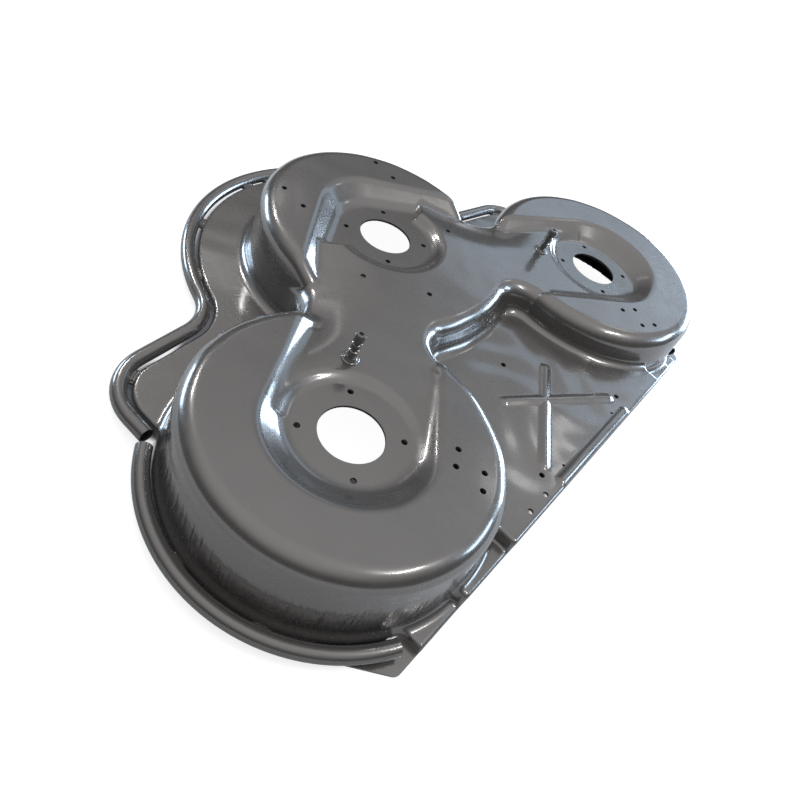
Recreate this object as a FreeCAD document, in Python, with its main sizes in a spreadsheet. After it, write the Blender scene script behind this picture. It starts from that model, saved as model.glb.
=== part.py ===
# Stamped deck shell of a three-blade riding mower, with its bumper rails, rail tabs and grooved posts.
# Millimetres. +X is the machine's right, +Y is forward, +Z is up.
# The origin is the middle of the line between the two rear spindle holes, on the spindle seat plane.
import FreeCAD, Part
import Sketcher
import math
import os

os.makedirs("parts", exist_ok=True)
doc = FreeCAD.newDocument("deck")
V = FreeCAD.Vector

# Driving dimensions
sheet = doc.addObject("Spreadsheet::Sheet", "dims")
DIMS = [
    ("sheet_thick", 4.5),
    ("spindle_side_x", 443.0),
    ("spindle_lead_y", 319.0),
    ("spindle_bore", 110.0),
    ("bolt_circle", 171.0),
    ("bolt_hole", 11.0),
    ("rim_depth", 137.5),
    ("flange_depth", 113.0),
    ("ledge_depth", 82.0),
    ("low_plate_depth", 55.0),
    ("plateau_rise", 6.0),
    ("plateau_tilt", 2.0),
    ("ring_rise", 26.0),
    ("ring_tilt", 2.9),
    ("chamber_rad", 270.0),
    ("wall_draft", 2.5),
    ("crown_fillet", 30.0),
    ("seat_rad", 107.0),
    ("well_slope", 37.0),
    ("channel_aim", 33.0),
    ("channel_run", 300.0),
    ("flange_root_rad", 20.0),
    ("low_root_rad", 16.0),
    ("valley_rad", 84.0),
    ("valley_gap", 1.5),
    ("valley_edge_z", -15.7),
    ("valley_slope", 15.0),
    ("notch_y", 10.0),
    ("notch_rad", 56.0),
    ("notch_bulge_y", 50.0),
    ("notch_flare", 12.0),
    ("rear_y", 291.0),
    ("low_plate_half", 330.0),
    ("ledge_half", 451.0),
    ("lead_flange_width", 94.0),
    ("flange_dip_x", 451.0),
    ("flange_dip_rad", 110.0),
    ("flange_nose_x", 536.0),
    ("flange_nose_y", 267.0),
    ("flange_nose_rad", 77.0),
    ("skirt_width", 4.0),
    ("bend_rad", 7.0),
    ("corner_x", 595.0),
    ("corner_rad", 16.0),
    ("rail_offset", 19.5),
    ("rail_diam", 26.7),
    ("rail_wall", 2.6),
    ("rail_drop", 115.5),
    ("rail_tail", 41.0),
    ("tab_length", 30.0),
    ("tab_thick", 5.0),
    ("post_x", 338.0),
    ("post_y", 108.0),
    ("post_height", 60.0),
    ("post_diam", 20.0),
    ("post_groove_diam", 13.5),
    ("post_foot_diam", 25.0),
    ("post_recess_diam", 8.0),
    ("rib_rad", 9.0),
    ("rib_rise", 5.0),
    ("rib_cross_x", 144.0),
    ("rib_cross_front_y", 102.0),
    ("rib_cross_rear_y", 236.0),
    ("rib_cross_front_x", 82.0),
    ("rib_edge_y", 278.0),
    ("small_hole", 6.0),
    ("lift_inner_x", 334.0),
    ("lift_inner_y", 128.0),
    ("lift_outer_x", 366.0),
    ("lift_outer_y", 146.0),
    ("lift_pitch", 55.0),
    ("front_lift_x", 142.0),
    ("front_lift_y", 435.0),
    ("front_lift_pitch", 56.0),
    ("rear_hole_x", 168.0),
    ("rear_hole_y", 246.0),
    ("rear_small_x", 110.0),
    ("rear_small_y", 262.0),
    ("guide_right_x", 143.0),
    ("guide_right_y", 258.0),
    ("guide_left_x", 160.0),
    ("guide_left_y", 243.0),
    ("arm_hole_x", 68.0),
    ("arm_hole_y", 143.0),
    ("plate_hole_y", 42.0),
    ("edge_hole_x", 199.0),
    ("edge_hole_y", 273.0),
    ("edge_hole_pitch", 55.0),
]
for row, (alias, value) in enumerate(DIMS, start=1):
    sheet.set("A%d" % row, alias)
    sheet.set("B%d" % row, str(value))
    sheet.setAlias("B%d" % row, alias)
doc.recompute()


def d(alias):
    return float(sheet.get(alias))


T = d("sheet_thick")
SX = d("spindle_side_x")
LY = d("spindle_lead_y")
RIM = -d("rim_depth")
FLANGE = -d("flange_depth")
LEDGE = -d("ledge_depth")
LOW = -d("low_plate_depth")
REAR = -d("rear_y")
TOP = 90.0
BELOW = RIM - 20.0
COT_WELL = 1.0 / math.tan(math.radians(d("well_slope")))
SPINDLES = {"left": (-SX, 0.0), "lead": (0.0, LY), "right": (SX, 0.0)}
OUTWARD = {"left": 180.0, "lead": 90.0, "right": 0.0}
TAN_WALL = math.tan(math.radians(d("wall_draft")))


def wall_rad(z):
    """Radius of a chamber's drafted wall at one height."""
    return d("chamber_rad") - (z - BELOW) * TAN_WALL


# The valley circle all but touches the left and the lead chamber; the notch pocket touches the left one
SKIRT = d("chamber_rad") + d("skirt_width")
LEAD_FLANGE = d("chamber_rad") + d("lead_flange_width")
VALLEY_REACH = wall_rad(d("valley_edge_z")) + d("valley_rad") + d("valley_gap")
VALLEY_OUT = math.sqrt(VALLEY_REACH ** 2 - (SX ** 2 + LY ** 2) / 4.0)
VX = SX / 2.0 + VALLEY_OUT * LY / math.hypot(SX, LY)
VY = LY / 2.0 + VALLEY_OUT * SX / math.hypot(SX, LY)
POCKET_X = SX - math.sqrt((wall_rad(0.0) + d("notch_rad")) ** 2 - d("notch_y") ** 2)


def polar(cx, cy, rad, deg, z=0.0):
    a = math.radians(deg)
    return V(cx + rad * math.cos(a), cy + rad * math.sin(a), z)


def arc(cx, cy, rad, a0, a1, z=0.0):
    return Part.Arc(polar(cx, cy, rad, a0, z), polar(cx, cy, rad, (a0 + a1) / 2.0, z),
                    polar(cx, cy, rad, a1, z)).toShape()


def line(p, q):
    return Part.makeLine(p, q)


def slab(x0, x1, y0, y1, z0, z1):
    return Part.makeBox(x1 - x0, y1 - y0, z1 - z0, V(x0, y0, z0))


def above_plane(point, axis, deg):
    """Half space above a plane through the point, turned about the axis."""
    box = Part.makeBox(2400.0, 2400.0, 400.0, V(-1200.0, -1200.0, 0.0))
    box.rotate(V(0, 0, 0), axis, deg)
    box.translate(point)
    return box


def plateau_cut(off):
    """Everything above the plateau plane, which rises towards the lead spindle."""
    return above_plane(V(0, 0, d("plateau_rise") - off), V(1, 0, 0), d("plateau_tilt"))


def edges_where(shape, test):
    return [e for e in shape.Edges if test(e)]


def chamber(name, off):
    """Blade chamber: drafted round wall, crown tilted up on the outward side, rounded shoulder."""
    cx, cy = SPINDLES[name]
    low_rad = wall_rad(BELOW) - off
    high_rad = wall_rad(TOP) - off
    body = Part.makeCone(low_rad, high_rad, TOP - BELOW, V(cx, cy, BELOW))
    a = math.radians(OUTWARD[name])
    axis = V(math.sin(a), -math.cos(a), 0)
    body = body.cut(above_plane(V(cx, cy, d("ring_rise") - off), axis, d("ring_tilt")))
    top = max(body.Faces, key=lambda f: f.CenterOfMass.z)
    body = body.makeFillet(d("crown_fillet") - off, top.Edges)
    return body.cut(well(name, off))


def rounded_outline(points, radii, z):
    """Closed wire through the points, each corner rounded by its radius."""
    n = len(points)
    starts = []
    for i in range(n):
        p = points[i]
        a = points[i - 1]
        b = points[(i + 1) % n]
        u = V(a[0] - p[0], a[1] - p[1], 0).normalize()
        w = V(b[0] - p[0], b[1] - p[1], 0).normalize()
        half = u.getAngle(w) / 2.0
        if radii[i] <= 0.0:
            starts.append((V(p[0], p[1], z), None, V(p[0], p[1], z)))
            continue
        run = radii[i] / math.tan(half)
        mid = (u + w).normalize()
        c = V(p[0], p[1], z) + mid * (radii[i] / math.sin(half))
        starts.append((V(p[0], p[1], z) + u * run, c - mid * radii[i], V(p[0], p[1], z) + w * run))
    edges = []
    for i in range(n):
        first, middle, last = starts[i]
        if middle is not None:
            edges.append(Part.Arc(first, middle, last).toShape())
        following = starts[(i + 1) % n][0]
        if (following - last).Length > 1e-6:
            edges.append(line(last, following))
    return Part.Wire(edges)


def well_wire(name, off, z):
    """Foot outline of the seat and of the channel that opens from it, at one height."""
    cx, cy = SPINDLES[name]
    rad = d("seat_rad") + off / math.sin(math.radians(d("well_slope"))) + z * COT_WELL
    aim = d("channel_aim")
    run = d("channel_run") * (3.0 if name == "lead" else 1.0)
    if name == "left":
        first, last, go_first, go_last = aim + 90.0, aim + 270.0, aim, aim
    elif name == "right":
        first, last, go_first, go_last = -90.0 - aim, 90.0 - aim, 180.0 - aim, 180.0 - aim
    else:
        first, last, go_first, go_last = 90.0 - aim, 90.0 + aim, -aim, 180.0 + aim
    p_first = polar(cx, cy, rad, first, z)
    p_last = polar(cx, cy, rad, last, z)
    end_first = p_first + polar(0, 0, run, go_first)
    end_last = p_last + polar(0, 0, run, go_last)
    return Part.Wire([arc(cx, cy, rad, first, last, z), line(p_last, end_last),
                      line(end_last, end_first), line(end_first, p_first)])


def well(name, off):
    """Hollow inside one raised ring: the round seat, and the channel floor on the plateau plane."""
    cx, cy = SPINDLES[name]
    floor = -off
    bore = Part.makeLoft([well_wire(name, off, floor), well_wire(name, off, TOP)], True, True)
    seat_low = d("seat_rad") + off / math.sin(math.radians(d("well_slope"))) + floor * COT_WELL
    seat_high = seat_low + 60.0 * COT_WELL
    seat = Part.makeCone(seat_low, seat_high, 60.0, V(cx, cy, floor))
    keep = slab(-900, 900, -900, 900, floor - 40.0, TOP).cut(plateau_cut(off))
    if name == "left":
        side = d("channel_aim")
    elif name == "right":
        side = 180.0 - d("channel_aim")
    if name == "lead":
        wedge = Part.Face(Part.Wire([
            line(V(cx, cy, -50), polar(cx, cy, 900, -d("channel_aim") + 90.0, -50)),
            line(polar(cx, cy, 900, -d("channel_aim") + 90.0, -50), V(cx + 1500, cy - 1500, -50)),
            line(V(cx + 1500, cy - 1500, -50), V(cx - 1500, cy - 1500, -50)),
            line(V(cx - 1500, cy - 1500, -50), polar(cx, cy, 900, d("channel_aim") + 90.0, -50)),
            line(polar(cx, cy, 900, d("channel_aim") + 90.0, -50), V(cx, cy, -50)),
        ])).extrude(V(0, 0, 200))
    else:
        wedge = Part.makeBox(1500, 1500, 200, V(0, -750, -50))
        wedge.rotate(V(0, 0, 0), V(0, 0, 1), side)
        wedge.translate(V(cx, cy, 0))
    keep = keep.common(wedge).cut(seat)
    return bore.cut(keep)


MIDDLE_INSET = 12.0


def notch_wire(off, flare, z):
    """Outline of the middle of the deck, with the S-shaped rear edge above the low plate."""
    grow = flare - off
    px = POCKET_X
    py = d("notch_y")
    pr = d("notch_rad") - grow
    by = d("notch_bulge_y")
    # The bulge circle touches both pocket circles from outside.
    centre = (px * px + py * py - d("notch_rad") ** 2 - by * by + 2.0 * by * d("notch_rad"))
    centre = centre / (2.0 * (py - by + d("notch_rad")))
    big = centre - by + grow
    lean = math.degrees(math.atan2(px, centre - py))
    a_left = polar(-px, py, pr, 90.0 - lean, z)
    a_right = polar(px, py, pr, 90.0 + lean, z)
    out_left = polar(-px, py, pr, 180.0, z)
    out_right = polar(px, py, pr, 0.0, z)
    share = (wall_rad(0.0) - MIDDLE_INSET) / VALLEY_REACH
    touch_a = V(-SX + (SX - VX) * share, VY * share, z)
    touch_b = V(-VX * share, LY + (VY - LY) * share, z)
    seat = d("seat_rad")
    left = [out_left, V(-SX + 1.4 * seat, py, z), V(-SX + 0.56 * seat, VY / 2.0, z), touch_a, V(-VX, VY, z),
            touch_b, V(-1.4 * seat, LY - 0.56 * seat, z), V(-0.75 * seat, LY - 1.3 * seat, z)]
    right = [V(-p.x, p.y, z) for p in reversed(left)]
    edges = []
    chain = left + right
    for i in range(len(chain) - 1):
        edges.append(line(chain[i], chain[i + 1]))
    edges.append(arc(px, py, pr, 0.0, 90.0 + lean, z))
    edges.append(Part.Arc(a_right, V(0, centre - big, z), a_left).toShape())
    edges.append(arc(-px, py, pr, 90.0 - lean, 180.0, z))
    return Part.Wire(Part.__sortEdges__(edges))


def valley(side, off):
    """Round bite between two chambers, with the plateau dipping towards its edge."""
    edge_z = d("valley_edge_z") - off
    r = d("valley_rad") + off
    low_r = d("valley_rad") - TAN_WALL * (d("valley_edge_z") - BELOW) + off
    slope = math.tan(math.radians(d("valley_slope")))
    far = r + VALLEY_REACH
    p = [V(0, 0, BELOW), V(low_r, 0, BELOW), V(r, 0, edge_z), V(far, 0, edge_z + slope * (far - r)),
         V(far, 0, TOP + far * slope), V(0, 0, TOP + far * slope)]
    fillet = d("crown_fillet") - off
    u = (p[1] - p[2]).normalize()
    w = (p[3] - p[2]).normalize()
    half = u.getAngle(w) / 2.0
    mid = (u + w).normalize()
    c = p[2] + mid * (fillet / math.sin(half))
    q1 = p[2] + u * (fillet / math.tan(half))
    q2 = p[2] + w * (fillet / math.tan(half))
    wire = Part.Wire([line(p[0], p[1]), line(p[1], q1), Part.Arc(q1, c - mid * fillet, q2).toShape(),
                      line(q2, p[3]), line(p[3], p[4]), line(p[4], p[5]), line(p[5], p[0])])
    cut = Part.Face(wire).revolve(V(0, 0, 0), V(0, 0, 1), 360)
    cut.translate(V(side * VX, VY, 0))
    return cut


def middle(off):
    """Middle of the deck: plateau, both valleys and the rounded wall above the low plate."""
    flare_low = d("notch_flare")
    flare_high = -d("notch_flare") * 40.0 / d("rim_depth")
    body = Part.makeLoft([notch_wire(off, flare_low, RIM), notch_wire(off, flare_high, 40.0)], True, True)
    body = body.cut(plateau_cut(off))
    span = SX - 155.0
    front = d("notch_bulge_y") + 60.0
    picked = edges_where(body, lambda e: e.CenterOfMass.z > -2.0 - off and e.BoundBox.YMax < front
                         and e.BoundBox.XMax < span and e.BoundBox.XMin > -span
                         and e.CenterOfMass.y > d("notch_y") + 5.0
                         and e.BoundBox.ZMax - e.BoundBox.ZMin < 12.0)
    body = body.makeFillet(d("crown_fillet") - off - 4.0, picked)
    for side in (-1.0, 1.0):
        body = body.cut(valley(side, off))
    return body


def dip_height():
    """Height of the hollow bend's centre, so that the bend is tangent to the lead arc."""
    reach = LEAD_FLANGE + d("flange_dip_rad")
    return LY + math.sqrt(reach * reach - d("flange_dip_x") * d("flange_dip_x"))


TAIL_ANGLE = 245.0
TAIL_RUN = 14.0


def flange_wire(off, z):
    """Outer line of the flange, kept inward by the given offset."""
    ax = -SX
    skirt = SKIRT - off
    nose_x = -d("flange_nose_x")
    nose_y = d("flange_nose_y")
    nose = d("flange_nose_rad") - off
    dip_x = -d("flange_dip_x")
    dip_y = dip_height()
    dip = d("flange_dip_rad") + off
    lead = LEAD_FLANGE - off
    left_x = nose_x - nose
    gap = math.hypot(dip_x - nose_x, dip_y - nose_y)
    base = math.degrees(math.atan2(dip_y - nose_y, dip_x - nose_x))
    normal = base + math.degrees(math.acos((nose + dip) / gap))
    meet = math.degrees(math.atan2(dip_y - LY, dip_x))
    corner_up = math.degrees(math.acos((left_x - ax) / skirt))
    rear = REAR + off
    edges = [arc(ax, 0.0, skirt, TAIL_ANGLE, corner_up, z)]
    edges.append(line(polar(ax, 0.0, skirt, corner_up, z), V(left_x, nose_y, z)))
    edges.append(arc(nose_x, nose_y, nose, 180.0, normal, z))
    edges.append(line(polar(nose_x, nose_y, nose, normal, z), polar(dip_x, dip_y, dip, normal - 180.0, z)))
    edges.append(arc(dip_x, dip_y, dip, normal - 180.0, meet - 180.0, z))
    edges.append(arc(0.0, LY, lead, meet, 90.0, z))
    foot = polar(ax, 0.0, skirt, TAIL_ANGLE, z)
    turn = V(foot.x + TAIL_RUN, rear, z)
    edges.append(line(V(0, rear, z), turn))
    edges.append(line(turn, foot))
    mirror = [e.mirror(V(0, 0, 0), V(1, 0, 0)) for e in edges]
    return Part.Wire(Part.__sortEdges__(edges + mirror))


def cove(cx, cy, level, rule, off):
    """Ring of rounded root where a drafted chamber wall turns out into a flat level."""
    c = d(rule) + off
    z = level - off
    foot = wall_rad(z) - off
    head = foot - c * TAN_WALL
    inner = head - c / 2.0
    bow = V(foot + c - c * math.cos(math.radians(45.0)), 0, z + c - c * math.sin(math.radians(45.0)))
    wire = Part.Wire([line(V(inner, 0, z + c), V(head, 0, z + c)),
                      Part.Arc(V(head, 0, z + c), bow, V(foot + c, 0, z)).toShape(),
                      line(V(foot + c, 0, z), V(foot + c, 0, z - 2.0)),
                      line(V(foot + c, 0, z - 2.0), V(inner, 0, z - 2.0)),
                      line(V(inner, 0, z - 2.0), V(inner, 0, z + c))])
    ring = Part.Face(wire).revolve(V(0, 0, 0), V(0, 0, 1), 360)
    ring.translate(V(cx, cy, 0))
    return ring


COVE_CLEAR = 1.0
COVE_SINK = 12.0


def coves(off):
    """Rounded roots on the flange and on the low plate, kept within each level's outline."""
    inset = off + d("bend_rad") + COVE_CLEAR
    zone = Part.Face(flange_wire(inset, FLANGE - COVE_SINK)).extrude(V(0, 0, 60))
    pieces = [cove(-SX, 0.0, FLANGE, "flange_root_rad", off).common(zone)]
    pieces.append(cove(0.0, LY, FLANGE, "flange_root_rad", off).common(zone))
    half = d("low_plate_half") - off - COVE_CLEAR
    zone = slab(-half, 0.0, REAR + off + COVE_CLEAR, d("notch_y") + 10.0, LOW - COVE_SINK, LOW + 40.0)
    pieces.append(cove(-SX, 0.0, LOW, "low_root_rad", off).common(zone))
    for piece in (pieces[0], pieces[2]):
        pieces.append(piece.mirror(V(0, 0, 0), V(1, 0, 0)))
    return pieces


def corner(side):
    """Flat foot of the rear corner, level with the bottom rim."""
    r = d("corner_rad")
    x = -d("corner_x")
    pts = [(x - 70.0, -190.0), (x, REAR), (x + 155.0, REAR), (x + 125.0, -240.0), (x - 5.0, -150.0)]
    foot = Part.Face(rounded_outline(pts, [0.0, r, 0.0, 0.0, 0.0], RIM)).extrude(V(0, 0, T))
    if side > 0.0:
        foot = foot.mirror(V(0, 0, 0), V(1, 0, 0))
    return foot


def ribs(off):
    """Crossed stiffening ribs of the low plate, and the straight one along its rear edge."""
    sunk = LOW - d("rib_rad") + d("rib_rise")
    rad = d("rib_rad") - off
    wide = d("rib_cross_x")
    near = d("rib_cross_front_x")
    front = -d("rib_cross_front_y")
    rear = -d("rib_cross_rear_y")
    edge = -d("rib_edge_y")
    ends = [(-near, front, wide, rear), (near, front, -wide, rear), (-wide, edge, wide, edge)]
    solids = []
    for x0, y0, x1, y1 in ends:
        a = V(x0, y0, sunk)
        b = V(x1, y1, sunk)
        rod = Part.makeCylinder(rad, (b - a).Length, a, b - a)
        rod = rod.fuse([Part.makeSphere(rad, a), Part.makeSphere(rad, b)])
        solids.append(rod)
    return solids


def form(off):
    """The whole formed shape, kept inward by the given offset."""
    floor = BELOW if off > 0.0 else RIM
    plate = Part.Face(flange_wire(off, floor)).extrude(V(0, 0, FLANGE - off - floor))
    if off < d("bend_rad"):
        top = max(plate.Faces, key=lambda f: f.CenterOfMass.z)
        plate = plate.makeFillet(d("bend_rad") - off, top.Edges)
    low = slab(-d("low_plate_half") + off, d("low_plate_half") - off, REAR + off, 130.0, floor, LOW - off)
    rim_edges = edges_where(low, lambda e: abs(e.CenterOfMass.z - LOW + off) < 0.1
                            and e.CenterOfMass.y < 100.0)
    low = low.makeFillet(d("bend_rad") - off, rim_edges)
    ledge = slab(-d("ledge_half") + off, d("ledge_half") - off, REAR + off, -200.0, floor, LEDGE - off)
    rim_edges = edges_where(ledge, lambda e: abs(e.CenterOfMass.z - LEDGE + off) < 0.1
                            and e.CenterOfMass.y < -210.0)
    ledge = ledge.makeFillet(d("bend_rad") - off, rim_edges)
    left = chamber("left", off)
    right = left.mirror(V(0, 0, 0), V(1, 0, 0))
    bodies = [low, ledge, left, right, chamber("lead", off), middle(off)]
    bodies = bodies + coves(off) + ribs(off)
    whole = plate
    for piece in bodies:
        whole = whole.fuse(piece)
    trim = slab(-900, 900, -500, 900, RIM - 60.0, RIM if off == 0.0 else BELOW + 1.0)
    return whole.cut(trim)


def punch(x, y, alias):
    """Cutter for one punched hole, through every level of the sheet."""
    return Part.makeCylinder(d(alias) / 2.0, 200.0, V(x, y, -140.0))


def holes():
    """All punched holes of the shell."""
    cuts = []
    for cx, cy in SPINDLES.values():
        cuts.append(punch(cx, cy, "spindle_bore"))
        for k in range(4):
            p = polar(cx, cy, d("bolt_circle") / 2.0, 45.0 + 90.0 * k)
            cuts.append(punch(p.x, p.y, "bolt_hole"))
    pitch = d("lift_pitch")
    for side in (-1.0, 1.0):
        inner_x = side * d("lift_inner_x")
        outer_x = side * d("lift_outer_x")
        cuts.append(punch(inner_x, -d("lift_inner_y"), "bolt_hole"))
        cuts.append(punch(inner_x, -d("lift_inner_y") - pitch, "bolt_hole"))
        cuts.append(punch(outer_x, -d("lift_outer_y"), "bolt_hole"))
        cuts.append(punch(outer_x, -d("lift_outer_y") - pitch, "bolt_hole"))
        front_x = side * d("front_lift_x")
        cuts.append(punch(front_x, d("front_lift_y"), "bolt_hole"))
        cuts.append(punch(front_x, d("front_lift_y") + d("front_lift_pitch"), "bolt_hole"))
        cuts.append(punch(side * d("rear_hole_x"), -d("rear_hole_y"), "bolt_hole"))
        cuts.append(punch(side * d("rear_small_x"), -d("rear_small_y"), "small_hole"))
    cuts.append(punch(d("guide_right_x"), d("guide_right_y"), "bolt_hole"))
    cuts.append(punch(-d("guide_left_x"), d("guide_left_y"), "bolt_hole"))
    cuts.append(punch(-d("arm_hole_x"), d("arm_hole_y"), "bolt_hole"))
    cuts.append(punch(0.0, -d("plate_hole_y"), "bolt_hole"))
    cuts.append(punch(-d("edge_hole_x"), -d("edge_hole_y"), "bolt_hole"))
    cuts.append(punch(-d("edge_hole_x") - d("edge_hole_pitch"), -d("edge_hole_y"), "bolt_hole"))
    return cuts


outer = form(0.0)
inner = form(T)
shell = outer.cut(inner)
for side in (-1.0, 1.0):
    shell = shell.fuse(corner(side).cut(outer))
for tool in holes():
    shell = shell.cut(tool)
obj = doc.addObject("Part::Feature", "deck_shell")
obj.Shape = shell
obj.Placement = FreeCAD.Placement()
obj.Label = "deck_shell"
parts = [obj]


def place(x, y, z, deg=0.0, axis=V(0, 0, 1)):
    return FreeCAD.Placement(V(x, y, z), FreeCAD.Rotation(axis, deg))


# Side rails: bent tube round the outside of each rear chamber, open at both cut ends
RAIL_START = 134.0
RAIL_SWEEP = 110.0


def torus(name, minor, at):
    ring = doc.addObject("Part::Torus", name)
    ring.setExpression("Radius1", "dims.chamber_rad + dims.skirt_width + dims.rail_offset")
    ring.setExpression("Radius2", minor)
    ring.Angle1 = -180
    ring.Angle2 = 180
    ring.Angle3 = RAIL_SWEEP
    ring.Placement = at
    return ring


for side, word, turn in ((-1.0, "left", RAIL_START), (1.0, "right", 180.0 - RAIL_START - RAIL_SWEEP)):
    at = place(side * SX, 0.0, -d("rail_drop"), turn)
    solid = torus("rail_body_" + word, "dims.rail_diam / 2", at)
    bore = torus("rail_bore_" + word, "dims.rail_diam / 2 - dims.rail_wall", at)
    rail = doc.addObject("Part::Cut", "side_rail_" + word)
    rail.Base = solid
    rail.Tool = bore
    rail.Label = "side_rail_" + word
    parts.append(rail)


# Front rail: one bent tube that follows the flange line at a constant distance
def rail_path():
    off = -d("rail_offset")
    z = -d("rail_drop")
    nose = d("flange_nose_rad") - off
    dip = d("flange_dip_rad") + off
    lead = LEAD_FLANGE - off
    nx = -d("flange_nose_x")
    ny = d("flange_nose_y")
    dx = -d("flange_dip_x")
    dy = dip_height()
    gap = math.hypot(dx - nx, dy - ny)
    normal = math.degrees(math.atan2(dy - ny, dx - nx)) + math.degrees(math.acos((nose + dip) / gap))
    meet = math.degrees(math.atan2(dy - LY, dx))
    start = V(nx - nose, ny - d("rail_tail"), z)
    edges = [line(start, V(nx - nose, ny, z))]
    edges.append(arc(nx, ny, nose, 180.0, normal, z))
    edges.append(line(polar(nx, ny, nose, normal, z), polar(dx, dy, dip, normal - 180.0, z)))
    edges.append(arc(dx, dy, dip, normal - 180.0, meet - 180.0, z))
    lead_start = polar(0.0, LY, lead, meet, z)
    left = Part.Wire(edges)
    right = left.mirror(V(0, 0, 0), V(1, 0, 0))
    front = Part.Wire([Part.Arc(lead_start, V(0, LY + lead, z), V(-lead_start.x, lead_start.y, z)).toShape()])
    chain = Part.__sortEdges__(left.Edges + front.Edges + right.Edges)
    return Part.Wire(chain), start


spine = doc.addObject("Part::Feature", "front_rail_path")
path, start = rail_path()
spine.Shape = path
pipes = []
RAIL_RULES = (("front_rail_body", "dims.rail_diam / 2"),
              ("front_rail_bore", "dims.rail_diam / 2 - dims.rail_wall"))
for name, rule in RAIL_RULES:
    ring = doc.addObject("Part::Circle", name + "_ring")
    ring.setExpression("Radius", rule)
    ring.Placement = FreeCAD.Placement(start, FreeCAD.Rotation(V(1, 0, 0), 90))
    pipe = doc.addObject("Part::Sweep", name)
    pipe.Sections = [ring]
    pipe.Spine = (spine, ["Edge%d" % (i + 1) for i in range(len(path.Edges))])
    pipe.Solid = True
    pipe.Frenet = False
    pipe.Transition = 1
    pipes.append(pipe)
rail = doc.addObject("Part::Cut", "front_rail")
rail.Base = pipes[0]
rail.Tool = pipes[1]
rail.Label = "front_rail"
parts.append(rail)


# Rail tabs: short brackets welded between the folded lip and the rail
TAB_OVERLAP = 10.0
TAB_SINK = 6.0


def tab(name, cx, cy, rule, rad, deg, solid_rail):
    block = doc.addObject("Part::Box", name + "_block")
    block.setExpression("Length", "dims.rail_offset + %g" % TAB_OVERLAP)
    block.setExpression("Width", "dims.tab_length")
    block.setExpression("Height", "dims.tab_thick")
    corner_point = polar(cx, cy, rad - TAB_OVERLAP, deg, FLANGE - TAB_SINK - d("tab_thick"))
    turned = FreeCAD.Placement(corner_point, FreeCAD.Rotation(V(0, 0, 1), deg), V(0, 0, 0))
    block.Placement = turned.multiply(FreeCAD.Placement(V(0, -d("tab_length") / 2.0, 0), FreeCAD.Rotation()))
    lip = doc.addObject("Part::Cylinder", name + "_lip")
    lip.setExpression("Radius", rule)
    lip.Height = 80
    lip.Placement = place(cx, cy, -160.0)
    trimmed = doc.addObject("Part::Cut", name + "_trimmed")
    trimmed.Base = block
    trimmed.Tool = lip
    piece = doc.addObject("Part::Cut", name)
    piece.Base = trimmed
    piece.Tool = solid_rail
    piece.Label = name
    parts.append(piece)


front_solid = pipes[0]
LEAD_RULE = "dims.chamber_rad + dims.lead_flange_width"
SKIRT_RULE = "dims.chamber_rad + dims.skirt_width"
NOSE_RULE = "dims.flange_nose_rad"
nose_x = d("flange_nose_x")
nose_y = d("flange_nose_y")
for side, word in ((-1.0, "left"), (1.0, "right")):
    aim = (lambda deg: deg) if side < 0.0 else (lambda deg: 180.0 - deg)
    tab("tab_front_%s_inner" % word, 0.0, LY, LEAD_RULE, LEAD_FLANGE, aim(95.0), front_solid)
    tab("tab_front_%s_middle" % word, 0.0, LY, LEAD_RULE, LEAD_FLANGE, aim(126.0), front_solid)
    tab("tab_front_%s_outer" % word, 0.0, LY, LEAD_RULE, LEAD_FLANGE, aim(152.0), front_solid)
    tab("tab_nose_%s" % word, side * nose_x, nose_y, NOSE_RULE, d("flange_nose_rad"), aim(120.0), front_solid)
    body = doc.getObject("rail_body_" + word)
    tab("tab_side_%s_front" % word, side * SX, 0.0, SKIRT_RULE, SKIRT, aim(173.0), body)
    tab("tab_side_%s_rear" % word, side * SX, 0.0, SKIRT_RULE, SKIRT, aim(204.0), body)


# Grooved posts that stand on the plateau beside the rear spindles: half section, each corner as
# (size, share) across and a share of the height
POST_SECTION = [
    ("post_foot_diam", 0.5, 0.0),
    ("post_foot_diam", 0.5, 0.04),
    ("post_diam", 0.5, 0.1),
    ("post_groove_diam", 0.5, 0.1),
    ("post_groove_diam", 0.5, 0.2),
    ("post_diam", 0.45, 0.22),
    ("post_diam", 0.45, 0.36),
    ("post_groove_diam", 0.5, 0.38),
    ("post_groove_diam", 0.5, 0.47),
    ("post_diam", 0.45, 0.49),
    ("post_diam", 0.45, 0.63),
    ("post_groove_diam", 0.5, 0.65),
    ("post_groove_diam", 0.5, 0.74),
    ("post_diam", 0.5, 0.76),
    ("post_diam", 0.5, 0.96),
    ("post_diam", 0.425, 1.0),
    ("post_recess_diam", 0.5, 1.0),
    ("post_recess_diam", 0.5, 0.92),
    (None, 0.0, 0.92),
    (None, 0.0, 0.0),
]


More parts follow.
